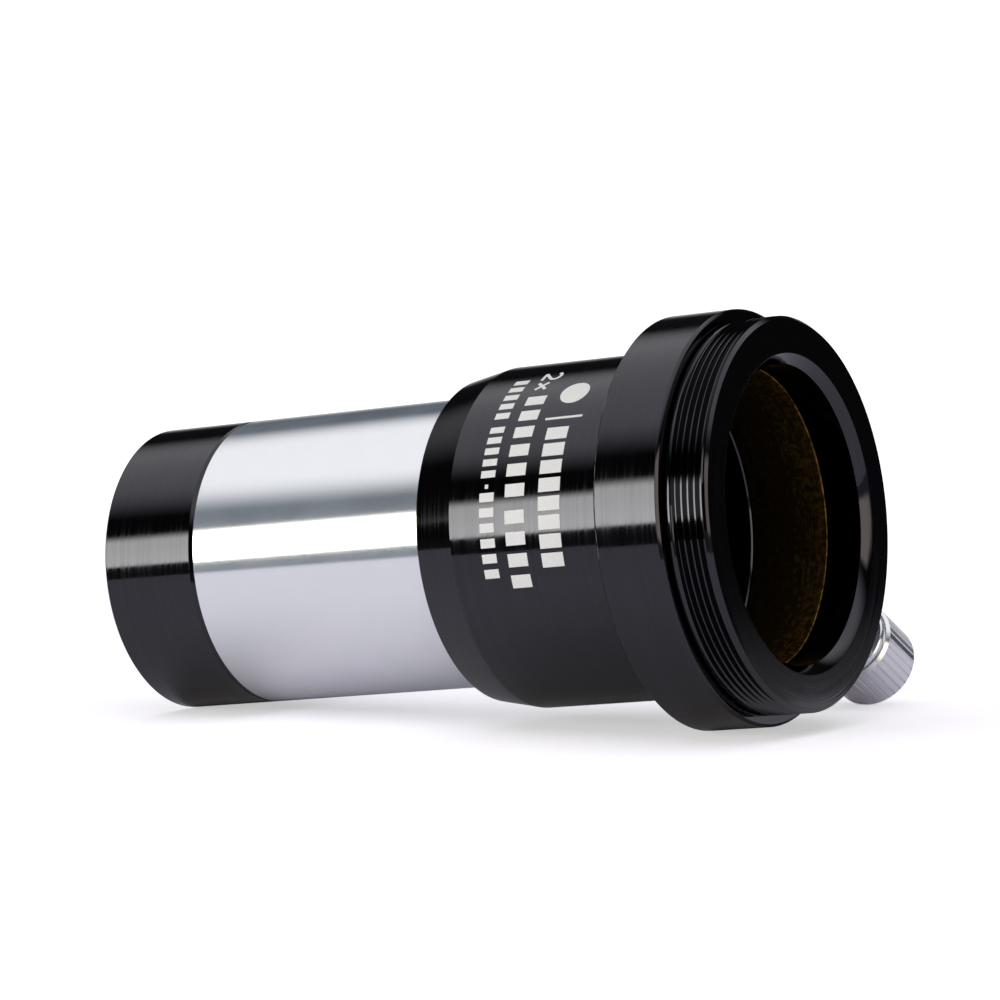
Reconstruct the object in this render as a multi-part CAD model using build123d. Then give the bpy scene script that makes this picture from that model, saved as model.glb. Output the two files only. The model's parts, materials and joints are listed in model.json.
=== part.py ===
from build123d import *
import math
import os

# A 2x barlow lens for 31.75 mm (1.25 in) eyepieces. Millimetres.
# +X runs along the optical axis from the telescope towards the eyepiece.
# +Z is up with the part lying on its side. The origin is on the axis, in the plane of the shoulder
# where the slim nosepiece meets the wider eyepiece holder.

# Nosepiece: the tube and the lens cell share the standard outside diameter.
BARREL_R = 31.75 / 2
CELL_END_X = -42.24
CELL_JOINT_X = -30.26
EDGE = 0.3

# Eyepiece holder, turned from one bar.
SHOULDER_R = 17.72
BODY_R = 18.62
CONE_END_X = 4.67
COLLAR_X = 24.11
COLLAR_END_X = 31.74
COLLAR_R = 22.21
FRONT_X = 36.76

# M42 x 0.75 outside thread in front of the collar.
T_CREST_R = 21.0
T_PITCH = 0.75
T_CREST_W = 0.18
T_DEPTH = 0.45
T_RELIEF_R = 20.4
T_RELIEF_END_X = 32.0
T_FIRST_X = 32.37
T_FLANK = math.tan(math.radians(30))
T_END_X = FRONT_X - EDGE
T_CHAMFER_R = 20.54

# Eyepiece socket with the groove for the compression ring.
SOCKET_R = 16.0
MOUTH_R = 17.0
MOUTH_DEPTH = 0.96
GROOVE_X = 22.6
GROOVE_END_X = 31.8
GROOVE_R = 17.2
GROOVE_LIP = 0.25

# Chrome tube, screwed into the back of the holder behind a short plain register.
TUBE_REGISTER_R = 15.65
REGISTER_BORE_R = 15.9
REGISTER_DEPTH = 1.0
TUBE_SEAT_R = 15.5
TUBE_SEAT_DEPTH = 6.0
TUBE_BORE_R = 14.4
TUBE_EDGE = 0.1
TUBE_THREAD_R = 14.25
TUBE_THREAD_END_X = -24.6

# Lens cell, screwed into the tube by its M28.5 x 0.6 spigot.
SPIGOT_R = 14.2
SPIGOT_END_X = -25.0
JOINT_BEVEL_W = 0.5
JOINT_BEVEL_H = 0.25
APERTURE_R = 11.2
SEAT_X = -27.8
SEAT_R = 12.02
RING_THREAD_R = 13.0
RING_THREAD_X = -35.0
RING_THREAD_END_X = -38.0

# M28.5 x 0.6 inside thread for filters, in the open end of the cell.
FILTER_CREST_R = 13.95
FILTER_PITCH = 0.6
FILTER_CREST_W = 0.25
FILTER_DEPTH = 0.26
FILTER_RELIEF_R = 14.3
FILTER_RELIEF_W = 0.5
FILTER_MOUTH_R = 14.5

# Cemented negative doublet and the slotted ring that holds it.
LENS_R = 11.98
LENS_CLEAR_R = 11.4
LENS_GAP = 0.02
FRONT_CURVE = 42.0
CEMENT_CURVE = 28.0
REAR_CURVE = 84.0
CROWN_THICK = 1.8
FLINT_RIM = 1.6
RING_THICK = 1.9
RING_BORE_R = 11.5
RING_SLOT_W = 1.4
RING_SLOT_DEPTH = 0.9

# Split brass compression ring.
BRASS_R = SOCKET_R
BRASS_THICK = 0.75
BRASS_END_GAP = 0.1
BRASS_SPLIT = 2.4

# M4 x 0.7 thumbscrew, 30 degrees below the horizontal on the +Y side.
SCREW_X = 28.05
SCREW_ANGLE = -30.0
STUD_R = 1.95
STUD_HOLE_R = 2.0
STUD_TIP = 18.3
STUD_CHAMFER = 0.4
NECK_FACE = 29.18
NECK_R = 4.39
NECK_H = 0.77
HEAD_R = 4.915
HEAD_END = 36.92
HEAD_EDGE = 0.35
HEAD_HOLE_DEPTH = 3.9
STUD_IN_HEAD = 3.8
KNURLS = 36
KNURL_W = 0.26
KNURL_DEPTH = 0.2


def sag(curve, radius):
    """Depth of a spherical surface at a radius."""
    return curve - math.sqrt(curve**2 - radius**2)


def turned(points, axis=Axis.X):
    """Solid of revolution from an outline of (position along the axis, radius) points."""
    return revolve(make_face(Polyline(*points, close=True)), axis)


def thread(first_x, end_x, pitch, crest_w, crest_r, root_r):
    """Outline points of a ring-form thread from the first crest to end_x, which may be on either side."""
    way = 1 if end_x > first_x else -1
    flank = abs(root_r - crest_r) * T_FLANK
    points = [(first_x, crest_r)]
    crest_x = first_x
    while (end_x - crest_x) * way > pitch:
        groove_x = crest_x + way * crest_w
        crest_x = crest_x + way * pitch
        points += [
            (groove_x, crest_r),
            (groove_x + way * flank, root_r),
            (crest_x - way * flank, root_r),
            (crest_x, crest_r),
        ]
    return points + [(end_x, crest_r)]


def on_screw_axis(shape):
    """Lay a shape made along +Z from the optical axis onto the thumbscrew's axis."""
    tilt = Location((SCREW_X, 0, 0), (SCREW_ANGLE - 90, 0, 0))
    return tilt * shape


def upright(points):
    """Solid of revolution about Z from (height, radius) points."""
    outline = [(radius, 0, height) for height, radius in points]
    return revolve(make_face(Polyline(*outline, close=True)), Axis.Z)


def eyepiece_holder():
    """Shoulder cone, grip, collar, outside thread and stepped socket in one turned piece."""
    outside = [
        (REGISTER_DEPTH, TUBE_SEAT_R),
        (REGISTER_DEPTH, REGISTER_BORE_R),
        (0, REGISTER_BORE_R),
        (0, SHOULDER_R),
        (CONE_END_X, BODY_R),
        (COLLAR_X, BODY_R),
        (COLLAR_X, COLLAR_R - EDGE),
        (COLLAR_X + EDGE, COLLAR_R),
        (COLLAR_END_X - EDGE, COLLAR_R),
        (COLLAR_END_X, COLLAR_R - EDGE),
        (COLLAR_END_X, T_RELIEF_R),
        (T_RELIEF_END_X, T_RELIEF_R),
        (T_RELIEF_END_X, T_CREST_R),
    ]
    t_thread = thread(T_FIRST_X, T_END_X, T_PITCH, T_CREST_W, T_CREST_R, T_CREST_R - T_DEPTH)
    inside = [
        (FRONT_X, T_CHAMFER_R),
        (FRONT_X, MOUTH_R),
        (FRONT_X - MOUTH_DEPTH, SOCKET_R),
        (GROOVE_END_X, SOCKET_R),
        (GROOVE_END_X, GROOVE_R),
        (GROOVE_X, GROOVE_R),
        (GROOVE_X, SOCKET_R + GROOVE_LIP),
        (GROOVE_X - GROOVE_LIP, SOCKET_R),
        (TUBE_SEAT_DEPTH, SOCKET_R),
        (TUBE_SEAT_DEPTH, TUBE_SEAT_R),
    ]
    holder = turned(outside + t_thread + inside)
    screw_hole = Cylinder(STUD_HOLE_R, COLLAR_R, align=(Align.CENTER, Align.CENTER, Align.MIN))
    return holder - on_screw_axis(Pos(0, 0, SOCKET_R / 2) * screw_hole)


def nosepiece_tube():
    """Chrome tube, threaded inside its far end for the lens cell."""
    return turned([
        (CELL_JOINT_X, TUBE_THREAD_R),
        (CELL_JOINT_X, BARREL_R - TUBE_EDGE),
        (CELL_JOINT_X + TUBE_EDGE, BARREL_R),
        (0, BARREL_R),
        (0, TUBE_REGISTER_R),
        (REGISTER_DEPTH, TUBE_REGISTER_R),
        (REGISTER_DEPTH, TUBE_SEAT_R),
        (TUBE_SEAT_DEPTH, TUBE_SEAT_R),
        (TUBE_SEAT_DEPTH, TUBE_BORE_R),
        (TUBE_THREAD_END_X, TUBE_BORE_R),
        (TUBE_THREAD_END_X, TUBE_THREAD_R),
    ])


def lens_cell():
    """Black cell at the telescope end, open to the lens, with a filter thread in its mouth."""
    body = [
        (CELL_END_X, BARREL_R - EDGE),
        (CELL_END_X + EDGE, BARREL_R),
        (CELL_JOINT_X - JOINT_BEVEL_W, BARREL_R),
        (CELL_JOINT_X, BARREL_R - JOINT_BEVEL_H),
        (CELL_JOINT_X, SPIGOT_R),
        (SPIGOT_END_X - EDGE, SPIGOT_R),
        (SPIGOT_END_X, SPIGOT_R - EDGE),
        (SPIGOT_END_X, APERTURE_R),
        (SEAT_X, APERTURE_R),
        (SEAT_X, SEAT_R),
        (RING_THREAD_X, SEAT_R),
        (RING_THREAD_X, RING_THREAD_R),
        (RING_THREAD_END_X, RING_THREAD_R),
        (RING_THREAD_END_X, FILTER_RELIEF_R),
        (RING_THREAD_END_X - FILTER_RELIEF_W, FILTER_RELIEF_R),
    ]
    mouth = FILTER_MOUTH_R - FILTER_CREST_R
    filter_thread = thread(
        RING_THREAD_END_X - FILTER_RELIEF_W,
        CELL_END_X + mouth,
        FILTER_PITCH,
        FILTER_CREST_W,
        FILTER_CREST_R,
        FILTER_CREST_R + FILTER_DEPTH,
    )
    return turned(body + filter_thread + [(CELL_END_X, FILTER_MOUTH_R)])


# Where the doublet's surfaces meet the axis and its rims meet the cell.
REAR_RIM_X = SEAT_X - LENS_GAP
CEMENT_RIM_X = REAR_RIM_X - FLINT_RIM
CEMENT_X = CEMENT_RIM_X - sag(CEMENT_CURVE, LENS_R)
FRONT_LENS_X = CEMENT_X - CROWN_THICK
FRONT_RIM_X = FRONT_LENS_X - sag(FRONT_CURVE, LENS_CLEAR_R)
REAR_LENS_X = REAR_RIM_X - sag(REAR_CURVE, LENS_CLEAR_R)


def dish(axis_x, rim_x, rim_r, curve):
    """Arc from the axis to a rim, on a sphere whose centre lies on the rim's side."""
    way = 1 if rim_x > axis_x else -1
    half_r = rim_r / 2
    return ThreePointArc((axis_x, 0), (axis_x + way * sag(curve, half_r), half_r), (rim_x, rim_r))


def front_lens_element():
    """Double concave crown element of the doublet."""
    front = dish(FRONT_LENS_X, FRONT_RIM_X, LENS_CLEAR_R, FRONT_CURVE)
    back = dish(CEMENT_X, CEMENT_RIM_X, LENS_R, CEMENT_CURVE)
    rim = Polyline(front @ 1, (FRONT_RIM_X, LENS_R), back @ 1)
    centre = Line(back @ 0, front @ 0)
    return revolve(make_face(Curve() + [front, rim, back, centre]), Axis.X)


def rear_lens_element():
    """Meniscus flint element, cemented into the back of the crown."""
    front = dish(CEMENT_X, CEMENT_RIM_X, LENS_R, CEMENT_CURVE)
    back = dish(REAR_LENS_X, REAR_RIM_X, LENS_CLEAR_R, REAR_CURVE)
    rim = Polyline(front @ 1, (REAR_RIM_X, LENS_R), back @ 1)
    centre = Line(back @ 0, front @ 0)
    return revolve(make_face(Curve() + [front, rim, back, centre]), Axis.X)


def lens_retaining_ring():
    """Threaded ring with two slots for a lens spanner."""
    back_x = FRONT_RIM_X - 2 * LENS_GAP
    face_x = back_x - RING_THICK
    ring = turned([
        (face_x, RING_BORE_R),
        (face_x, RING_THREAD_R),
        (back_x, RING_THREAD_R),
        (back_x, RING_BORE_R),
    ])
    slots = Box(2 * RING_SLOT_DEPTH, 2 * RING_THREAD_R + 1, RING_SLOT_W)
    return ring - Pos(face_x, 0, 0) * slots


def compression_ring():
    """Split brass band in the socket's groove, open on the side away from the thumbscrew."""
    start_x = GROOVE_X + BRASS_END_GAP
    end_x = GROOVE_END_X - BRASS_END_GAP
    band = turned([
        (start_x, BRASS_R),
        (start_x, BRASS_R + BRASS_THICK),
        (end_x, BRASS_R + BRASS_THICK),
        (end_x, BRASS_R),
    ])
    split = Box(BRASS_SPLIT, 2 * (end_x - start_x), BRASS_R + 1, align=(Align.CENTER, Align.CENTER, Align.MAX))
    return band - on_screw_axis(Pos(0, 0, -BRASS_R / 2) * Rot(0, 0, 90) * split)


def thumbscrew_stud():
    """Threaded shank of the thumbscrew, from its flat tip to its root in the head."""
    root = NECK_FACE + STUD_IN_HEAD
    return on_screw_axis(upright([
        (STUD_TIP, 0),
        (STUD_TIP, STUD_R - STUD_CHAMFER),
        (STUD_TIP + STUD_CHAMFER, STUD_R),
        (root, STUD_R),
        (root, 0),
    ]))


def thumbscrew_head():
    """Knurled head with its plain neck and the socket for the stud."""
    shoulder = NECK_FACE + NECK_H
    head = upright([
        (NECK_FACE, STUD_HOLE_R),
        (NECK_FACE, NECK_R - HEAD_EDGE / 2),
        (NECK_FACE + HEAD_EDGE / 2, NECK_R),
        (shoulder, NECK_R),
        (shoulder, HEAD_R - HEAD_EDGE),
        (shoulder + HEAD_EDGE, HEAD_R),
        (HEAD_END - HEAD_EDGE, HEAD_R),
        (HEAD_END, HEAD_R - HEAD_EDGE),
        (HEAD_END, 0),
        (NECK_FACE + HEAD_HOLE_DEPTH, 0),
        (NECK_FACE + HEAD_HOLE_DEPTH, STUD_HOLE_R),
    ])
    groove = Polyline(
        (HEAD_R - KNURL_DEPTH, 0),
        (HEAD_R + KNURL_DEPTH, -KNURL_W),
        (HEAD_R + KNURL_DEPTH, KNURL_W),
        close=True,
    )
    cutter = Pos(0, 0, shoulder) * extrude(make_face(groove), HEAD_END - shoulder)
    return on_screw_axis(head - PolarLocations(0, KNURLS) * cutter)


PIECES = {
    "eyepiece_holder": eyepiece_holder,
    "nosepiece_tube": nosepiece_tube,
    "lens_cell": lens_cell,
    "lens_retaining_ring": lens_retaining_ring,
    "front_lens_element": front_lens_element,
    "rear_lens_element": rear_lens_element,
    "compression_ring": compression_ring,
    "thumbscrew_stud": thumbscrew_stud,
    "thumbscrew_head": thumbscrew_head,
}

os.makedirs("parts", exist_ok=True)
for node, make in PIECES.items():
    export_step(make(), f"parts/{node}.step")
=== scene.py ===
import cmath
import json
import math

import bmesh
import bpy
from mathutils import Matrix, Vector


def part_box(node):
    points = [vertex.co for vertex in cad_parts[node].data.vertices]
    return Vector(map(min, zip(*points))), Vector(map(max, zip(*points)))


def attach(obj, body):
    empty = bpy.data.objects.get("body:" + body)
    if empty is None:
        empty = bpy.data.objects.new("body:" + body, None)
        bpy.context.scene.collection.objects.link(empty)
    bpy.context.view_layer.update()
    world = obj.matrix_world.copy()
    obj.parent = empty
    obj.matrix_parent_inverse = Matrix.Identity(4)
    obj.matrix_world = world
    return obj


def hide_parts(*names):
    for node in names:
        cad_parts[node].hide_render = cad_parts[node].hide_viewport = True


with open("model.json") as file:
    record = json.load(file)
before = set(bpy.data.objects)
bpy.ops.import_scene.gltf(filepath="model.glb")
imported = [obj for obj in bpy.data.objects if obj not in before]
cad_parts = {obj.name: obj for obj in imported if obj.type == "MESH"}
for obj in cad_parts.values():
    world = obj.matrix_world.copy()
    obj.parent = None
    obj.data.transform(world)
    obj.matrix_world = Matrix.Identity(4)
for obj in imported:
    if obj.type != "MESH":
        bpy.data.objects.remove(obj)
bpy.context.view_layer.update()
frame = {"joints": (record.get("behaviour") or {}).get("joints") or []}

# A 2x barlow lens for 31.75 mm eyepieces, lying on a pale table. Outlines are (x, radius) points in
# millimetres, turned about X; MM brings them to metres. Angles run from +Y towards +Z.
MM = 0.001
TURN = 2 * math.pi
SEGMENTS = 288
MERGE = 1e-7
SHARP_ANGLE = math.radians(34)

# Broken edges: the usual arc and a finer one. A corner that bends less than LEAST_BEND stays, one
# that bends more than LARGE_BEND gets a finer arc, and no arc takes more than ARC_SHARE of a side.
BREAK_EDGE = 0.05
FINE_EDGE = 0.04
LEAST_BEND = math.radians(8)
LARGE_BEND = math.radians(50)
ARC_SHARE = 0.4


def span(node):
    """(first x, last x, outer radius) of a turned CAD node, in millimetres."""
    low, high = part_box(node)
    return low.x / MM, high.x / MM, high.z / MM


def joint(name):
    """The record's joint of that name."""
    return next(j for j in frame["joints"] if j["name"] == name)


# ---------------------------------------------------------------- sizes

SHOULDER_X, FRONT_X, COLLAR_R = span("eyepiece_holder")
CELL_JOINT_X, TUBE_END_X, BARREL_R = span("nosepiece_tube")
CELL_END_X, SPIGOT_END_X, _ = span("lens_cell")
RING_X, RING_END_X, RING_R = span("lens_retaining_ring")
BAND_X, BAND_END_X, BAND_R = span("compression_ring")
_, _, LENS_R = span("front_lens_element")

# The holder's outside.
EDGE = 0.3
SHOULDER_R = 17.72
BODY_R = 18.62
CONE_END_X = 4.67
COLLAR_X = 24.11
COLLAR_END_X = 31.74

# M42 x 0.75 outside thread, with a plain land and a chamfer at its front.
T_CREST_R = 21.0
T_ROOT_R = 20.48
T_PITCH = 0.75
T_CREST_W = 0.08
T_RELIEF_R = 20.4
T_RELIEF_END_X = 32.0
T_LAND_END_X = 32.55
T_CHAMFER_R = 20.64
T_CHAMFER_W = 0.42
T_EDGE = 0.06
THREAD_RUN_IN = 0.3

# The eyepiece socket and the groove for the brass band.
SOCKET_R = 16.0
MOUTH_R = 17.0
MOUTH_DEPTH = 0.96
GROOVE_X = 22.6
GROOVE_END_X = 31.8
GROOVE_R = 17.2
GROOVE_LIP = 0.25

# The tube and its seat in the holder.
REGISTER_R = 15.9
REGISTER_DEPTH = 1.0
TUBE_REGISTER_R = 15.65
TUBE_SEAT_R = 15.5
TUBE_BORE_R = 14.4
TUBE_EDGE = 0.1
TUBE_THREAD_R = 14.25
TUBE_THREAD_END_X = -24.6
BAFFLE_PITCH = 0.5
BAFFLE_DEPTH = 0.14

# The lens cell, with an M28.5 x 0.6 filter thread in its mouth.
SPIGOT_R = 14.2
JOINT_BEVEL_W = 0.5
JOINT_BEVEL_H = 0.25
APERTURE_R = 11.2
SEAT_X = -27.8
SEAT_R = 12.02
RING_THREAD_X = -35.0
RING_THREAD_END_X = -38.0
FILTER_CREST_R = 13.95
FILTER_ROOT_R = 14.21
FILTER_PITCH = 0.6
FILTER_CREST_W = 0.2
FILTER_RELIEF_R = 14.3
FILTER_RELIEF_W = 0.5
FILTER_RUN_OUT = 0.15
FILTER_MOUTH_R = 14.5

# The cemented doublet and the ring that holds it.
LENS_CLEAR_R = 11.4
LENS_GAP = 0.02
FRONT_CURVE = 42.0
CEMENT_CURVE = 28.0
REAR_CURVE = 84.0
CROWN_THICK = 1.8
FLINT_RIM = 1.6
CEMENT = 0.01
DISH_STEPS = 24
RING_BORE_R = 11.5
SLOT_HALF_W = 0.7
SLOT_DEPTH = 0.9
SLOT_WALL = math.radians(0.02)
RING_EDGE = 0.1

# The brass band.
BAND_INNER_R = SOCKET_R
BAND_SPLIT = 2.4
BAND_EDGE = 0.14

# The M4 thumbscrew. Places along it are distances from the optical axis.
STUD_R = 1.95
STUD_ROOT_R = 1.56
STUD_PITCH = 0.7
STUD_CREST_W = 0.12
STUD_TIP_R = 1.5
STUD_SEGMENTS = 72
STUD_HOLE_R = 2.0
HOLE_CHAMFER = 0.35
HOLE_SEGMENTS = 64
STUD_TIP = 18.3
NECK_FACE = 29.18
NECK_R = 4.39
NECK_H = 0.77
HEAD_R = 4.915
HEAD_END = 36.92
HEAD_EDGE = 0.35
STUD_IN_HEAD = 3.8
HEAD_HOLE_DEPTH = 3.9
KNURLS = 36
KNURL_W = 0.26
KNURL_DEPTH = 0.2
DIMPLE_R = 3.4
DIMPLE_DEPTH = 0.12

SCREW_AXIS = Vector(joint("thumbscrew_travel")["axis"]).normalized()
SCREW_PLACE = Vector((joint("thumbscrew_turn")["pos_m"][0], 0, 0))


# ---------------------------------------------------------------- meshes


def rounded(outline, radius=BREAK_EDGE, closed=False):
    """The outline with its outer corners broken by small arcs. Material is on the right of the path,
    and the ends of an open outline stay."""
    points = [complex(*p) for p in outline]
    count = len(points)
    made = []
    for i, here in enumerate(points):
        before, after = points[i - 1], points[(i + 1) % count]
        at_end = not closed and i in (0, count - 1)
        bend = 0 if at_end else cmath.phase((after - here) / (here - before))
        reach = radius * math.tan(abs(bend) / 2)
        if at_end or here.imag == 0 or bend > -LEAST_BEND:
            made.append(here)
            continue
        reach = min(reach, ARC_SHARE * abs(here - before), ARC_SHARE * abs(after - here))
        arc_radius = reach / math.tan(abs(bend) / 2)
        first = here + (before - here) / abs(before - here) * reach
        way = (here - before) / abs(here - before)
        centre = first + way * 1j * math.copysign(arc_radius, bend)
        steps = 3 if abs(bend) > LARGE_BEND else 2
        made += [centre + (first - centre) * cmath.exp(1j * bend * k / steps) for k in range(steps + 1)]
    return [(p.real, p.imag) for p in made]


def thread(start, first, last, end, pitch, crest_w, crest_r, root_r, plain=None):
    """Columns of a right-hand thread. It has its full height from x = first to x = last, and tapers
    to the (x, radius) points start and end. Its groove runs in and out between the two x in plain."""
    side = 1 if crest_r > root_r else -1
    full = abs(crest_r - root_r)
    flank = full * math.tan(math.radians(30))

    def roof(x):
        """Height that the two tapers leave at x."""
        heights = []
        for (end_x, end_r), full_x in ((start, first), (end, last)):
            low = (end_r - root_r) * side
            heights.append(low + (full - low) * (x - end_x) / (full_x - end_x))
        return min(heights)

    def floor(x):
        """Height that the groove is filled to at x."""
        if plain is None:
            return -full
        return min(full, full * (1 - min(x - plain[0], plain[1] - x) / THREAD_RUN_IN))

    def point(x, height):
        x = min(max(x, start[0]), end[0])
        return x, root_r + side * min(max(height, floor(x)), roof(x))

    def corner(x, height):
        return lambda angle: point(x + pitch * angle / TURN, height)

    def between(x1, h1, x2, h2):
        """The column where the profile from (x1, h1) to (x2, h2) meets its roof or floor."""

        def column(angle):
            a, b = (x + pitch * angle / TURN for x in (x1, x2))
            share = 0.5
            for limit in (roof, floor):
                over, under = h1 - limit(a), h2 - limit(b)
                if over * under < 0:
                    share = over / (over - under)
            return point(a + (b - a) * share, h1 + (h2 - h1) * share)

        return column

    shape = [(0, full), (crest_w, full), (crest_w + flank, 0), (pitch - flank, 0)]
    turns = math.ceil((end[0] - start[0]) / pitch) + 2
    path = [(start[0] + (n - 1) * pitch + x, height) for n in range(turns) for x, height in shape]
    columns = []
    for here, after in zip(path, path[1:]):
        columns += [corner(*here), between(*here, *after)]
    return columns


def even_angles(first=0.0, last=TURN, count=SEGMENTS):
    """Angles from first to last in count equal steps."""
    return [first + (last - first) * k / count for k in range(count + 1)]


def turned(name, columns, angles=None):
    """A solid swept about X through the angles. A column is an (x, radius) point, or a function of
    the angle that gives one. The columns close on themselves, and an open sweep gets end caps."""
    angles = angles or even_angles()
    shape = bmesh.new()
    rows = []
    for angle in angles:
        row = []
        for column in columns:
            x, radius = column(angle) if callable(column) else column
            y, z = radius * math.cos(angle), radius * math.sin(angle)
            row.append(shape.verts.new((x * MM, y * MM, z * MM)))
        rows.append(row)
    for row, beyond in zip(rows, rows[1:]):
        for i in range(len(row)):
            k = i - 1
            shape.faces.new((row[k], row[i], beyond[i], beyond[k]))
    if angles[-1] - angles[0] < TURN - MERGE:
        shape.faces.new(rows[0])
        shape.faces.new(rows[-1][::-1])
    bmesh.ops.remove_doubles(shape, verts=shape.verts, dist=MERGE)
    bmesh.ops.dissolve_degenerate(shape, edges=shape.edges, dist=MERGE)
    bmesh.ops.recalc_face_normals(shape, faces=shape.faces)
    return new_object(name, shape)


def new_object(name, shape):
    """An object for a finished bmesh, smooth but for its sharp edges."""
    mesh = bpy.data.meshes.new(name)
    shape.to_mesh(mesh)
    shape.free()
    made = bpy.data.objects.new(name, mesh)
    bpy.context.scene.collection.objects.link(made)
    shade(made)
    return made


def shade(thing):
    """Smooth shading that leaves edges sharp, with broad faces kept flat up to their broken edges."""
    shape = bmesh.new()
    shape.from_mesh(thing.data)
    for face in shape.faces:
        face.smooth = True
    for edge in shape.edges:
        edge.smooth = edge.calc_face_angle(math.pi) < SHARP_ANGLE
    shape.to_mesh(thing.data)
    shape.free()
    if "flat faces" not in thing.modifiers:
        weighted = thing.modifiers.new("flat faces", "WEIGHTED_NORMAL")
        weighted.keep_sharp = True


def cut(thing, tool):
    """Cut tool out of thing for good."""
    modifier = thing.modifiers.new("cut", "BOOLEAN")
    modifier.operation = "DIFFERENCE"
    modifier.solver = "EXACT"
    modifier.object = tool
    thing.modifiers.remove(thing.modifiers["flat faces"])
    bpy.context.view_layer.update()
    result = bpy.data.meshes.new_from_object(thing.evaluated_get(bpy.context.evaluated_depsgraph_get()))
    thing.modifiers.clear()
    thing.data = result
    bpy.data.objects.remove(tool)
    shade(thing)


def on_screw_axis(thing):
    """Stand a piece made along X on the thumbscrew's axis."""
    side = SCREW_AXIS.cross(Vector((1, 0, 0)))
    turn = Matrix((SCREW_AXIS, side, SCREW_AXIS.cross(side))).transposed()
    thing.matrix_world = Matrix.Translation(SCREW_PLACE) @ turn.to_4x4()
    return thing


def finished(thing, body, node, slot, *materials):
    """Give a piece its materials and its body, and hide the CAD node it stands for. The slot is not
    used.
    """
    for material in materials:
        thing.data.materials.append(material)
    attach(thing, body)
    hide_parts(node)
    return thing


# ---------------------------------------------------------------- materials


def node(tree, kind, *inputs, **settings):
    """Add a shader node with its first inputs filled by sockets or values; gives its first output."""
    made = tree.nodes.new("ShaderNode" + kind)
    for key, value in settings.items():
        setattr(made, key, value)
    for socket, value in zip(made.inputs, inputs):
        if isinstance(value, bpy.types.NodeSocket):
            tree.links.new(value, socket)
        elif value is not None:
            socket.default_value = value
    return made.outputs[0] if made.outputs else None


def math_node(tree, operation, *inputs):
    return node(tree, "Math", *inputs, operation=operation)


def node_output(tree, kind, name):
    """The output of that name of a node without inputs."""
    return node(tree, kind).node.outputs[name]


def noise(tree, place, scale, detail, roughness=0.5):
    """Fractal noise from 0 to 1 at a place."""
    return node(tree, "TexNoise", place, None, scale, detail, roughness)


def ramp(tree, value, low, high, to_low=0.0, to_high=1.0):
    """Value from low to high brought smoothly to to_low ... to_high."""
    return node(tree, "MapRange", value, low, high, to_low, to_high, interpolation_type="SMOOTHSTEP")


def principled(name, **values):
    """(material, its tree, its Principled shader) with values on the shader's own sockets."""
    material = bpy.data.materials.new(name)
    material.use_nodes = True
    tree = material.node_tree
    shader = tree.nodes["Principled BSDF"]
    for socket, value in values.items():
        shader.inputs[socket.replace("_", " ")].default_value = value
    return material, tree, shader


def around_axis(tree, lines, drift):
    """Noise in fine rings about the object's X axis: lines per metre, and how fast they change along
    the ring."""
    x, y, z = node(tree, "SeparateXYZ", node_output(tree, "TexCoord", "Object")).node.outputs
    y_squared, z_squared = (math_node(tree, "MULTIPLY", value, value) for value in (y, z))
    radius = math_node(tree, "SQRT", math_node(tree, "ADD", y_squared, z_squared))
    ring = math_node(tree, "MULTIPLY_ADD", radius, 0.73, x)
    scaled = [math_node(tree, "MULTIPLY", *pair) for pair in ((ring, lines), (y, drift), (z, drift))]
    return noise(tree, node(tree, "CombineXYZ", *scaled), 1.0, 3.0, 0.6)


def cloud(tree, scale, detail=2.0):
    """Even noise over the object, scale in features per metre."""
    return noise(tree, node_output(tree, "TexCoord", "Object"), scale, detail)


def bump(tree, shader, height, depth):
    """Relief from a 0 to 1 height, depth in metres."""
    made = node(tree, "Bump").node
    made.inputs["Strength"].default_value = 1.0
    made.inputs["Distance"].default_value = depth
    tree.links.new(height, made.inputs["Height"])
    tree.links.new(made.outputs[0], shader.inputs["Normal"])


def colours(tree, value, *stops):
    """Colour ramp through (position, colour) stops."""
    made = node(tree, "ValToRGB", value).node
    elements = made.color_ramp.elements
    while len(elements) < len(stops):
        elements.new(0.5)
    for element, (position, colour) in zip(elements, stops):
        element.position = position
        element.color = (*colour, 1)
    return made.outputs[0]


def black_anodised():
    """Glossy black anodising over a turned surface."""
    made, tree, shader = principled("black_anodised", IOR=1.58, Specular_Tint=(0.87, 0.88, 1.0, 1))
    lines = around_axis(tree, 4200, 30)
    patches = cloud(tree, 160)
    tone = colours(tree, lines, (0.3, (0.0003, 0.0003, 0.0004)), (0.75, (0.0008, 0.0007, 0.001)))
    tree.links.new(tone, shader.inputs["Base Color"])
    worn = math_node(tree, "MULTIPLY_ADD", lines, 0.8, math_node(tree, "MULTIPLY", patches, 0.2))
    tree.links.new(ramp(tree, worn, 0.35, 0.7, 0.05, 0.12), shader.inputs["Roughness"])
    tree.links.new(ramp(tree, lines, 0.25, 0.75, 0.58, 0.52), shader.inputs["Specular IOR Level"])
    bump(tree, shader, lines, 2.5e-6)
    return made


def polished_chrome(name, tint, low, high):
    """Plated metal, polished smooth, with a fine grain and a faint bluish haze."""
    made, tree, shader = principled(name, Metallic=1.0)
    grain = cloud(tree, 9000, 3.0)
    dull = tuple(c * 0.97 for c in tint)
    tree.links.new(colours(tree, grain, (0.3, dull), (0.7, tint)), shader.inputs["Base Color"])
    tree.links.new(ramp(tree, grain, 0.3, 0.7, low, high), shader.inputs["Roughness"])
    haze = node(tree, "BsdfAnisotropic", (0.78, 0.88, 1.0, 1), 0.7)
    share = ramp(tree, cloud(tree, 240, 3.0), 0.3, 0.7, 0.19, 0.23)
    hazed = node(tree, "MixShader", share, shader.outputs[0], haze)
    tree.links.new(hazed, tree.nodes["Material Output"].inputs["Surface"])
    return made


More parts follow.
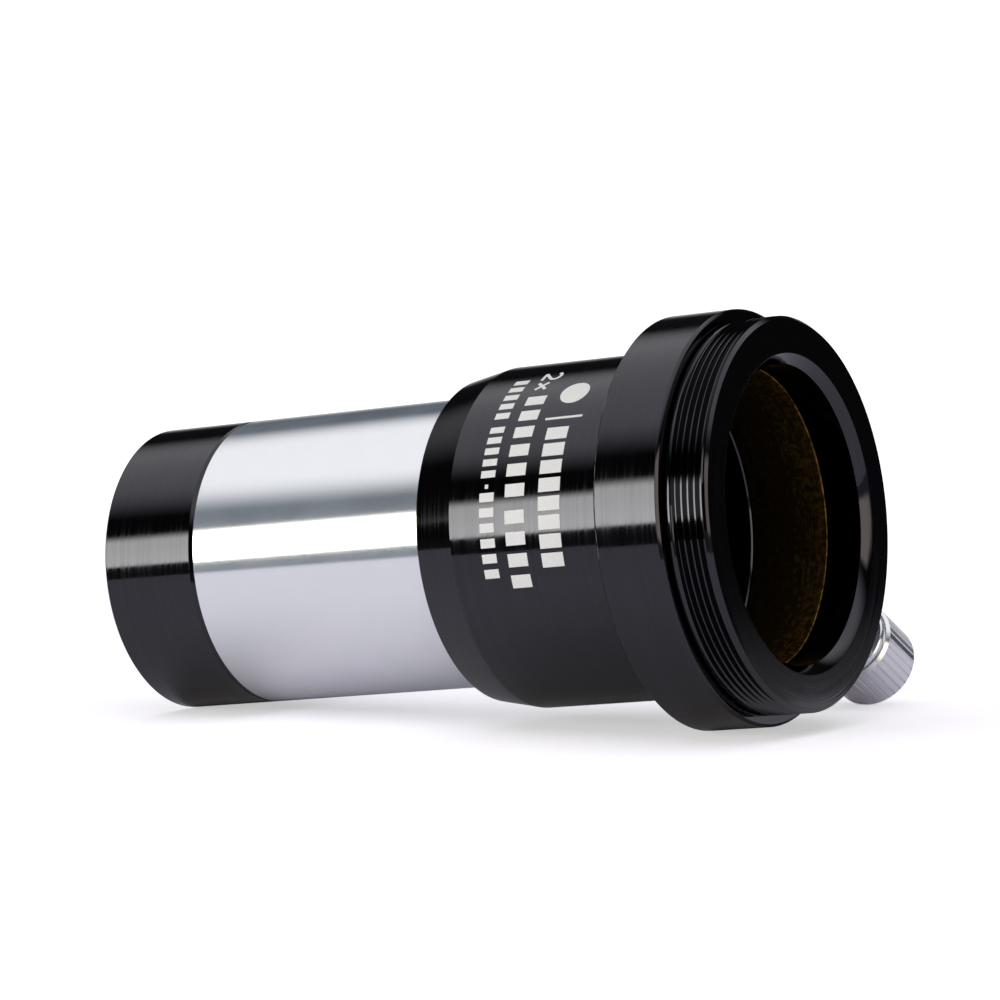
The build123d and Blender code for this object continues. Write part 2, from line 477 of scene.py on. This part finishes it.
def brushed_brass():
    """Bare brass, brushed round the axis and tarnished in patches, with painted light that brightens
    its colour towards the mouth.
    """
    made, tree, shader = principled("brass", Metallic=1.0)
    marks = around_axis(tree, 5200, 120)
    tarnish = cloud(tree, 1500, 5.0)
    along_x = node(tree, "SeparateXYZ", node_output(tree, "TexCoord", "Object"))
    # Painted light: the colour brightens from the deep end of the groove to the mouth, where light
    # comes in through the opening, and the deep end is left darker as painted shade.
    painted_mouth_light = ramp(tree, along_x, GROOVE_X * MM, GROOVE_END_X * MM)
    tone = math_node(tree, "MULTIPLY_ADD", marks, 0.3, math_node(tree, "MULTIPLY", tarnish, 0.45))
    tone = math_node(tree, "MULTIPLY_ADD", painted_mouth_light, 0.2, tone)
    metal = colours(
        tree,
        tone,
        (0.28, (0.018, 0.012, 0.004)),
        (0.52, (0.072, 0.045, 0.012)),
        (0.77, (0.70, 0.40, 0.09)),
    )
    tree.links.new(metal, shader.inputs["Base Color"])
    tree.links.new(ramp(tree, tone, 0.35, 0.65, 0.6, 0.45), shader.inputs["Roughness"])
    bump(tree, shader, marks, 1.5e-6)
    return made


def matt_black():
    """Flat black paint against glare."""
    made, tree, shader = principled("matt_black", IOR=1.45)
    grain = cloud(tree, 9000, 4.0)
    tree.links.new(
        colours(tree, grain, (0.3, (0.006, 0.006, 0.006)), (0.7, (0.012, 0.012, 0.012))),
        shader.inputs["Base Color"],
    )
    tree.links.new(ramp(tree, grain, 0.3, 0.7, 0.55, 0.75), shader.inputs["Roughness"])
    bump(tree, shader, grain, 8e-6)
    return made


def coated_glass(name, ior, film):
    """Clear glass with an anti-reflection film, thickness in nanometres."""
    made, tree, shader = principled(
        name,
        Base_Color=(0.97, 0.985, 0.975, 1),
        Transmission_Weight=1.0,
        IOR=ior,
        Thin_Film_Thickness=film,
        Thin_Film_IOR=1.38,
    )
    dust = cloud(tree, 2600, 5.0)
    tree.links.new(ramp(tree, dust, 0.55, 0.8, 0.0, 0.035), shader.inputs["Roughness"])
    return made


def white_ink():
    """Screen-printed white ink, slightly uneven."""
    made, tree, shader = principled("white_ink", IOR=1.45)
    grain = cloud(tree, 7000, 3.0)
    tree.links.new(
        colours(tree, grain, (0.25, (0.74, 0.75, 0.76)), (0.75, (0.86, 0.87, 0.88))),
        shader.inputs["Base Color"],
    )
    tree.links.new(ramp(tree, grain, 0.3, 0.7, 0.42, 0.6), shader.inputs["Roughness"])
    bump(tree, shader, grain, 2e-6)
    return made


BLACK = black_anodised()
TUBE_CHROME = polished_chrome("tube_chrome", (0.93, 0.925, 0.92), 0.085, 0.115)
SCREW_CHROME = polished_chrome("screw_chrome", (0.96, 0.94, 0.95), 0.10, 0.18)
BRASS = brushed_brass()
MATT_BLACK = matt_black()
CROWN_GLASS = coated_glass("crown_glass", 1.52, 110)
FLINT_GLASS = coated_glass("flint_glass", 1.62, 125)
WHITE_INK = white_ink()


# ---------------------------------------------------------------- pieces


def eyepiece_holder():
    """Shoulder, cone, grip, collar, outside thread and stepped socket, with the screw's hole."""
    outside = [
        (REGISTER_DEPTH, TUBE_SEAT_R),
        (REGISTER_DEPTH, REGISTER_R),
        (SHOULDER_X, REGISTER_R),
        (SHOULDER_X, SHOULDER_R),
        (CONE_END_X, BODY_R),
        (COLLAR_X, BODY_R),
        (COLLAR_X, COLLAR_R - EDGE),
        (COLLAR_X + EDGE, COLLAR_R),
        (COLLAR_END_X - EDGE, COLLAR_R),
        (COLLAR_END_X, COLLAR_R - EDGE),
        (COLLAR_END_X, T_RELIEF_R),
        (T_RELIEF_END_X, T_RELIEF_R),
        (T_RELIEF_END_X, T_CREST_R - T_EDGE),
    ]
    inside = [
        (FRONT_X, T_CHAMFER_R),
        (FRONT_X, MOUTH_R),
        (FRONT_X - MOUTH_DEPTH, SOCKET_R),
        (GROOVE_END_X, SOCKET_R),
        (GROOVE_END_X, GROOVE_R),
        (GROOVE_X, GROOVE_R),
        (GROOVE_X, SOCKET_R + GROOVE_LIP),
        (GROOVE_X - GROOVE_LIP, SOCKET_R),
        (TUBE_END_X, SOCKET_R),
        (TUBE_END_X, TUBE_SEAT_R),
    ]
    t_thread = thread(
        outside[-1],
        T_RELIEF_END_X + T_EDGE,
        FRONT_X - T_CHAMFER_W,
        inside[0],
        pitch=T_PITCH,
        crest_w=T_CREST_W,
        crest_r=T_CREST_R,
        root_r=T_ROOT_R,
        plain=(T_LAND_END_X, FRONT_X - T_CHAMFER_W),
    )
    made = turned("holder_body", rounded(outside) + t_thread + rounded(inside))
    hole = [
        (GROOVE_R - 1, 0),
        (GROOVE_R - 1, STUD_HOLE_R),
        (COLLAR_R - HOLE_CHAMFER, STUD_HOLE_R),
        (COLLAR_R + HOLE_CHAMFER, STUD_HOLE_R + 2 * HOLE_CHAMFER),
        (COLLAR_R + HOLE_CHAMFER, 0),
    ]
    cut(made, on_screw_axis(turned("hole", hole, even_angles(count=HOLE_SEGMENTS))))
    return finished(made, "holder", "eyepiece_holder", "black_anodised", BLACK)


def nosepiece_tube():
    """Plated tube, matt black inside with fine ridges against glare."""
    outline = [
        (CELL_JOINT_X, TUBE_THREAD_R),
        (CELL_JOINT_X, BARREL_R - TUBE_EDGE),
        (CELL_JOINT_X + TUBE_EDGE, BARREL_R),
        (SHOULDER_X, BARREL_R),
        (SHOULDER_X, TUBE_REGISTER_R),
        (REGISTER_DEPTH, TUBE_REGISTER_R),
        (REGISTER_DEPTH, TUBE_SEAT_R),
        (TUBE_END_X, TUBE_SEAT_R),
        (TUBE_END_X, TUBE_BORE_R),
    ]
    ridges = []
    place = TUBE_END_X - BAFFLE_PITCH
    while place > TUBE_THREAD_END_X + BAFFLE_PITCH:
        ridges += [(place, TUBE_BORE_R), (place - BAFFLE_PITCH / 2, TUBE_BORE_R + BAFFLE_DEPTH)]
        place -= BAFFLE_PITCH
    inside = [(TUBE_THREAD_END_X, TUBE_BORE_R), (TUBE_THREAD_END_X, TUBE_THREAD_R)]
    made = turned("nosepiece_barrel", rounded(outline, FINE_EDGE) + ridges + inside)
    finished(made, "holder", "nosepiece_tube", "chrome_tube", TUBE_CHROME, MATT_BLACK)
    paint_limit = (TUBE_BORE_R + 2 * BAFFLE_DEPTH) * MM
    for face in made.data.polygons:
        if face.center.yz.length < paint_limit:
            face.material_index = 1
    return made


def lens_cell():
    """Black end cell with its spigot, lens seat, ring thread and filter thread."""
    body = [
        (CELL_END_X, FILTER_MOUTH_R),
        (CELL_END_X, BARREL_R - EDGE),
        (CELL_END_X + EDGE, BARREL_R),
        (CELL_JOINT_X - JOINT_BEVEL_W, BARREL_R),
        (CELL_JOINT_X, BARREL_R - JOINT_BEVEL_H),
        (CELL_JOINT_X, SPIGOT_R),
        (SPIGOT_END_X - EDGE, SPIGOT_R),
        (SPIGOT_END_X, SPIGOT_R - EDGE),
        (SPIGOT_END_X, APERTURE_R),
        (SEAT_X, APERTURE_R),
        (SEAT_X, SEAT_R),
        (RING_THREAD_X, SEAT_R),
        (RING_THREAD_X, RING_R),
        (RING_THREAD_END_X, RING_R),
        (RING_THREAD_END_X, FILTER_RELIEF_R),
        (RING_THREAD_END_X - FILTER_RELIEF_W, FILTER_RELIEF_R),
    ]
    filter_thread = thread(
        body[0],
        CELL_END_X + FILTER_MOUTH_R - FILTER_CREST_R,
        body[-1][0] - FILTER_RUN_OUT,
        body[-1],
        pitch=FILTER_PITCH,
        crest_w=FILTER_CREST_W,
        crest_r=FILTER_CREST_R,
        root_r=FILTER_ROOT_R,
    )
    made = turned("lens_cell_body", rounded(body) + filter_thread[::-1])
    return finished(made, "cell", "lens_cell", "black_anodised", BLACK)


def lens_retaining_ring():
    """Threaded ring with two slots for a lens spanner."""
    half = math.asin(SLOT_HALF_W / RING_BORE_R)

    def face(radius):
        def column(angle):
            off = abs((angle + TURN / 4) % (TURN / 2) - TURN / 4)
            return RING_X + (SLOT_DEPTH if off < half else 0), radius

        return column

    outline = [
        (RING_X, RING_R),
        (RING_END_X, RING_R),
        (RING_END_X, RING_BORE_R),
        (RING_X, RING_BORE_R),
    ]
    back = rounded(outline, RING_EDGE)[1:-1]
    angles = set(even_angles())
    for middle in (0, TURN / 2):
        for way in (-1, 1):
            for nudge in (-SLOT_WALL, SLOT_WALL):
                angles.add((middle + way * (half + nudge)) % TURN)
    made = turned("lens_lock_ring", [face(RING_R), *back, face(RING_BORE_R)], sorted(angles))
    return finished(made, "cell", "lens_retaining_ring", "black_anodised", BLACK)


def sag(curve, radius):
    """Depth of a spherical surface at a radius."""
    return curve - math.sqrt(curve**2 - radius**2)


def dish(axis_x, way, curve, rim_r):
    """Points of a spherical surface from the axis out to its rim."""
    radii = [rim_r * k / DISH_STEPS for k in range(DISH_STEPS + 1)]
    return [(axis_x + way * sag(curve, radius), radius) for radius in radii]


def lens_elements():
    """The doublet: a double concave crown and a meniscus flint behind it."""
    rear_rim_x = SEAT_X - LENS_GAP
    cement_x = rear_rim_x - FLINT_RIM - sag(CEMENT_CURVE, LENS_R)
    front_x = cement_x - CROWN_THICK
    rear_x = rear_rim_x - sag(REAR_CURVE, LENS_CLEAR_R)
    rim_r = LENS_R - CEMENT
    front = dish(front_x, -1, FRONT_CURVE, LENS_CLEAR_R)
    crown_back = dish(cement_x - CEMENT, 1, CEMENT_CURVE, rim_r)
    flint_front = dish(cement_x, 1, CEMENT_CURVE, rim_r)
    rear = dish(rear_x, 1, REAR_CURVE, LENS_CLEAR_R)
    crown = front[::-1] + crown_back + [(front[-1][0], rim_r)]
    flint = flint_front[::-1] + rear + [(rear_rim_x, rim_r)]
    for name, outline, cad_node, glass in (
        ("crown_lens", crown, "front_lens_element", CROWN_GLASS),
        ("flint_lens", flint, "rear_lens_element", FLINT_GLASS),
    ):
        made = turned(name, outline)
        finished(made, "lenses", cad_node, "coated_glass", glass)


def compression_ring():
    """Split brass band in the socket's groove, open on the side away from the thumbscrew."""
    outline = [
        (BAND_X, BAND_INNER_R),
        (BAND_X, BAND_R),
        (BAND_END_X, BAND_R),
        (BAND_END_X, BAND_INNER_R),
    ]
    half = math.asin(BAND_SPLIT / 2 / BAND_INNER_R)
    middle = math.atan2(-SCREW_AXIS.z, -SCREW_AXIS.y)
    angles = even_angles(middle + half, middle + TURN - half)
    made = turned("brass_band", rounded(outline, BAND_EDGE, closed=True), angles)
    return finished(made, "clamp_band", "compression_ring", "brass", BRASS)


def thumbscrew_stud():
    """Threaded shank from its flat tip to its root in the head."""
    root = NECK_FACE + STUD_IN_HEAD
    taper = STUD_R - STUD_TIP_R
    tip, end = (STUD_TIP, STUD_TIP_R), (root, STUD_TIP_R)
    shank = thread(
        tip,
        STUD_TIP + taper,
        root - taper,
        end,
        pitch=STUD_PITCH,
        crest_w=STUD_CREST_W,
        crest_r=STUD_R,
        root_r=STUD_ROOT_R,
    )
    columns = [(STUD_TIP, 0), tip, *shank, end, (root, 0)]
    made = on_screw_axis(turned("thumbscrew_shank", columns, even_angles(count=STUD_SEGMENTS)))
    return finished(made, "screw_shank", "thumbscrew_stud", "screw_chrome", SCREW_CHROME)


def thumbscrew_head():
    """Knurled head with narrow grooves between wide lands, and its plain neck."""
    shoulder = NECK_FACE + NECK_H
    plain = HEAD_EDGE + KNURL_DEPTH
    pitch = TURN / KNURLS
    half = KNURL_W / 2 / HEAD_R

    def knurled(x):
        def column(angle):
            off = abs((angle + pitch / 2) % pitch - pitch / 2)
            return x, HEAD_R - KNURL_DEPTH * max(0, 1 - off / half)

        return column

    neck = [
        (NECK_FACE + HEAD_HOLE_DEPTH, 0),
        (NECK_FACE + HEAD_HOLE_DEPTH, STUD_HOLE_R),
        (NECK_FACE, STUD_HOLE_R),
        (NECK_FACE, NECK_R - HEAD_EDGE / 2),
        (NECK_FACE + HEAD_EDGE / 2, NECK_R),
        (shoulder, NECK_R),
    ]
    grip = [
        (shoulder, HEAD_R - HEAD_EDGE),
        (shoulder + HEAD_EDGE, HEAD_R),
        knurled(shoulder + plain),
        knurled(HEAD_END - plain),
        (HEAD_END - HEAD_EDGE, HEAD_R),
        (HEAD_END, HEAD_R - HEAD_EDGE),
    ]
    top = [
        (HEAD_END, DIMPLE_R + DIMPLE_DEPTH),
        (HEAD_END - DIMPLE_DEPTH, DIMPLE_R),
        (HEAD_END - DIMPLE_DEPTH, 0),
    ]
    marks = (-half, -half / 2, 0, half / 2, half, 0.3 * pitch, 0.5 * pitch, 0.7 * pitch)
    angles = sorted({(k * pitch + m) % TURN for k in range(KNURLS) for m in marks})
    columns = rounded(neck, FINE_EDGE) + grip + top
    made = on_screw_axis(turned("thumbscrew_knob", columns, [*angles, angles[0] + TURN]))
    return finished(made, "screw_head", "thumbscrew_head", "screw_chrome", SCREW_CHROME)


# ---------------------------------------------------------------- printed marks

INK = 0.015
PRINT_STEP = math.radians(0.8)

# The spot: x, angle in degrees, and radius.
SPOT = (17.2, 126.0, 1.7)
SPOT_STEPS = 24

# Figures: where the line starts (x, degrees), the height of a figure and the pen's width in heights.
FIGURES_X = 11.55
FIGURES_ANGLE = 110.8
FIGURES_SIZE = 2.3
PEN = 0.16

# Rows of bars: x, height, first angle in degrees, pitch, count, and each bar's share of the pitch.
BAR_ROWS = (
    (14.9, 4.5, 137.2, 0.9, 1, 1.0),
    (15.56, 2.6, 141.5, 6.1, 8, 0.76),
    (11.5, 2.35, 126.0, 6.95, 6, 0.62),
    (11.5, 2.35, 169.5, 7.0, 4, 0.62),
    (8.4, 1.75, 114.8, 4.5, 5, 0.6),
    (8.4, 1.75, 139.0, 4.1, 5, 0.6),
    (9.0, 0.4, 160.2, 1.4, 1, 1.0),
    (8.4, 1.75, 163.0, 5.0, 6, 0.6),
)


def print_patch(shape, corners):
    """A strip of ink on the grip through pairs of (x, angle) points, one pair per rib."""
    ribs = []
    for pair in corners:
        rib = []
        for x, angle in pair:
            for radius in (BODY_R - INK, BODY_R + INK):
                y, z = radius * math.cos(angle), radius * math.sin(angle)
                rib.append(shape.verts.new((x * MM, y * MM, z * MM)))
        ribs.append(rib)
    for (a, b, c, d), (e, f, g, h) in zip(ribs, ribs[1:]):
        for face in ((b, f, h, d), (a, c, g, e), (a, e, f, b), (c, d, h, g)):
            shape.faces.new(face)
    a, b, c, d = ribs[0]
    e, f, g, h = ribs[-1]
    shape.faces.new((a, b, d, c))
    shape.faces.new((e, g, h, f))


def bar(shape, x, height, first, last):
    """A plain bar of ink from one angle to another, in degrees."""
    steps = max(1, math.ceil(math.radians(last - first) / PRINT_STEP))
    angles = [math.radians(first + (last - first) * k / steps) for k in range(steps + 1)]
    print_patch(shape, [((x, angle), (x + height, angle)) for angle in angles])


def bars(shape, x, height, first, pitch, count, share):
    """A row of plain bars, each taking its share of the pitch."""
    for k in range(count):
        bar(shape, x, height, first + k * pitch, first + (k + share) * pitch)


def spot(shape, x, angle, radius):
    """A plain round spot of ink."""
    ribs = []
    for k in range(1, SPOT_STEPS):
        turn = math.pi * k / SPOT_STEPS
        half = radius * math.sin(turn)
        here = math.radians(angle) - radius * math.cos(turn) / BODY_R
        ribs.append(((x - half, here), (x + half, here)))
    print_patch(shape, ribs)


def stroke(shape, path):
    """A pen stroke through complex points: real part along the line of print, imaginary part up."""
    ribs = []
    for i, here in enumerate(path):
        before, after = path[max(i - 1, 0)], path[min(i + 1, len(path) - 1)]
        way = (after - before) / abs(after - before)
        edge = way * 0.5j * PEN
        rib = []
        for p in (here + edge, here - edge):
            angle = math.radians(FIGURES_ANGLE) + p.real * FIGURES_SIZE / BODY_R
            rib.append((FIGURES_X + p.imag * FIGURES_SIZE, angle))
        ribs.append(rib)
    print_patch(shape, ribs)


def printed_marks():
    """Generic print on the grip: the power in figures, a spot, a rule and rows of plain bars."""
    shape = bmesh.new()
    turns = [math.radians(165 - 15 * k) for k in range(15)]
    bowl = [0.38 + 0.68j + 0.32 * math.cos(turn) + 0.27j * math.sin(turn) for turn in turns]
    foot = [0.08 + 0.07j + (bowl[-1] - 0.08 - 0.07j) * k / 6 for k in range(5, -1, -1)]
    base = [0.04 + 0.07j + 0.70 * k / 4 for k in range(5)]
    rising = [1.02 + 0.07j + (0.56 + 0.55j) * k / 4 for k in range(5)]
    falling = [1.02 + 0.62j + (0.56 - 0.55j) * k / 4 for k in range(5)]
    for path in (bowl + foot, base, rising, falling):
        stroke(shape, path)
    spot(shape, *SPOT)
    for row in BAR_ROWS:
        bars(shape, *row)
    made = new_object("printed_marks", shape)
    made.data.materials.append(WHITE_INK)
    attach(made, "holder")


eyepiece_holder()
nosepiece_tube()
lens_cell()
lens_retaining_ring()
lens_elements()
compression_ring()
thumbscrew_stud()
thumbscrew_head()
printed_marks()


# ---------------------------------------------------------------- camera

CAMERA_TARGET = Vector((0.17, 0.14, 4.42)) * MM
CAMERA_DISTANCE = 483.15 * MM
CAMERA_AZIMUTH = math.radians(30.658)
CAMERA_ELEVATION = math.radians(0.441)
CAMERA_ROLL = math.radians(-5.655)
CAMERA_LENS = 158.805


def make_camera():
    """The camera, low in front of the eyepiece end; its roll levels the table in the picture."""
    a, e = CAMERA_AZIMUTH, CAMERA_ELEVATION
    back = Vector((math.sin(a) * math.cos(e), -math.cos(a) * math.cos(e), math.sin(e)))
    level = Vector((math.cos(a), math.sin(a), 0))
    right = level * math.cos(CAMERA_ROLL) + back.cross(level) * math.sin(CAMERA_ROLL)
    data = bpy.data.cameras.new("camera")
    data.lens = CAMERA_LENS
    data.clip_start = 0.01
    data.clip_end = 20
    camera = bpy.data.objects.new("camera", data)
    axes = Matrix((right, back.cross(right), back)).transposed()
    camera.matrix_world = Matrix.Translation(CAMERA_TARGET + back * CAMERA_DISTANCE) @ axes.to_4x4()
    bpy.context.scene.collection.objects.link(camera)
    bpy.context.scene.camera = camera
    return back


TOWARDS_CAMERA = make_camera()


# ---------------------------------------------------------------- table and light

# The part lies on the rim of the lens cell and the rear edge of the collar, so the table's plane
# touches both circles.
TILT = math.atan2(COLLAR_R - BARREL_R, COLLAR_X - CELL_END_X)
TABLE_UP = Vector((math.sin(TILT), 0, math.cos(TILT)))
TABLE_HEIGHT = (TABLE_UP.x * (COLLAR_X + EDGE) - TABLE_UP.z * COLLAR_R) * MM
FRONTWARDS = (TOWARDS_CAMERA - TABLE_UP * TOWARDS_CAMERA.dot(TABLE_UP)).normalized()
LEFTWARDS = FRONTWARDS.cross(TABLE_UP)
TABLE_NEAR = 0.125
TABLE_WIDTH = 0.40
TABLE_DEPTH = 0.31
TABLE_TURN = math.radians(21)
TABLE_PAPER = (0.92, 0.90, 0.98, 1)
TABLE_GLOW = 0.50

# Light in linear colours, by what gives it.
SOFT_BOX = (0.95, 0.95, 0.98)
BACK_WALL = (0.5, 0.5, 0.5)
LEFT_STRIP = (7.1, 6.95, 6.3)
RIGHT_FILL = (1.9, 1.65, 1.4)
GROUND = (0.16, 0.16, 0.17)
DARK_ROOM = (0.014, 0.014, 0.016)
WHITE = (1, 1, 1, 1)
SEEN_BACKDROP = 1.2


def make_table():
    """A plain pale table top, seen only from above. Its near edge passes close in front of the part."""
    near = FRONTWARDS * math.cos(TABLE_TURN) + LEFTWARDS * math.sin(TABLE_TURN)
    beside = near.cross(TABLE_UP)
    corners = []
    for side, front in ((1, 0), (1, -1), (-1, -1), (-1, 0)):
        flat = beside * side * TABLE_WIDTH / 2 + near * (TABLE_NEAR + front * TABLE_DEPTH)
        corners.append(TABLE_UP * TABLE_HEIGHT + flat)
    mesh = bpy.data.meshes.new("table_top")
    mesh.from_pydata(corners, [], [(0, 1, 2, 3)])
    if mesh.polygons[0].normal.dot(TABLE_UP) < 0:
        mesh.flip_normals()
    table = bpy.data.objects.new("table_top", mesh)
    bpy.context.scene.collection.objects.link(table)
    material = bpy.data.materials.new("table_white")
    material.use_nodes = True
    tree = material.node_tree
    tree.nodes.clear()
    paper = node(tree, "BsdfDiffuse", TABLE_PAPER)
    glow = node(tree, "Emission", WHITE, TABLE_GLOW)
    lit = node(tree, "AddShader", paper, glow)
    plain = node(tree, "MixShader", node_output(tree, "LightPath", "Is Camera Ray"), paper, lit)
    clear = node(tree, "BsdfTransparent")
    seen = node(tree, "MixShader", node_output(tree, "NewGeometry", "Backfacing"), plain, clear)
    node(tree, "OutputMaterial", seen)
    mesh.materials.append(material)


def make_light():
    """Studio light by direction: a large soft box overhead, a bright strip low on the left, a dimmer
    one on the right, dark walls and floor, and plain white behind the object. Heights are sines of
    elevation over the table, and bearings are in radians from the camera's side to the left."""
    world = bpy.data.worlds.new("studio")
    bpy.context.scene.world = world
    world.use_nodes = True
    tree = world.node_tree
    tree.nodes.clear()
    direction = node_output(tree, "TexCoord", "Generated")

    def along(axis):
        return node(tree, "VectorMath", direction, axis, operation="DOT_PRODUCT").node.outputs["Value"]

    def product(*values):
        total = values[0]
        for value in values[1:]:
            total = math_node(tree, "MULTIPLY", total, value)
        return total

    up, left, front = along(TABLE_UP), along(LEFTWARDS), along(FRONTWARDS)
    bearing = math_node(tree, "ARCTAN2", left, front)
    slanted = math_node(tree, "MULTIPLY_ADD", math_node(tree, "MINIMUM", left, 0.0), 0.12, up)
    overhead = ramp(tree, slanted, 0.52, 0.75)
    backdrop = product(ramp(tree, up, 0.30, 0.05), ramp(tree, front, -0.70, -0.90))
    strip = product(
        ramp(tree, up, 0.0, 0.3, 1.0, 0.86),
        ramp(tree, math_node(tree, "MULTIPLY_ADD", bearing, -0.3, up), -0.319, -0.291),
        ramp(tree, up, 0.30, 0.39, 1.0, 0.0),
        ramp(tree, bearing, 0.6, 0.8),
        ramp(tree, bearing, 1.40, 1.52, 1.0, 0.0),
    )
    fill = product(
        ramp(tree, up, -0.03, 0.03),
        ramp(tree, up, 0.50, 0.58, 1.0, 0.0),
        ramp(tree, bearing, -0.05, -0.50),
        ramp(tree, bearing, -0.70, -0.85, 1.0, 0.0),
    )
    ground = product(ramp(tree, up, -0.006, 0.0, 1.0, 0.0), ramp(tree, left, -0.3, 0.5, 1.0, 0.2))
    studio = DARK_ROOM
    for share, colour in (
        (overhead, SOFT_BOX),
        (backdrop, BACK_WALL),
        (strip, LEFT_STRIP),
        (fill, RIGHT_FILL),
        (ground, GROUND),
    ):
        lamp = node(tree, "VectorMath", colour, None, None, share, operation="SCALE")
        studio = node(tree, "VectorMath", studio, lamp)
    lit = node(tree, "Background", studio, 1.0)
    plain = node(tree, "Background", WHITE, SEEN_BACKDROP)
    seen = node(tree, "MixShader", node_output(tree, "LightPath", "Is Camera Ray"), lit, plain)
    node(tree, "OutputWorld", seen)


make_table()
make_light()
bpy.context.scene.view_settings.view_transform = "Standard"
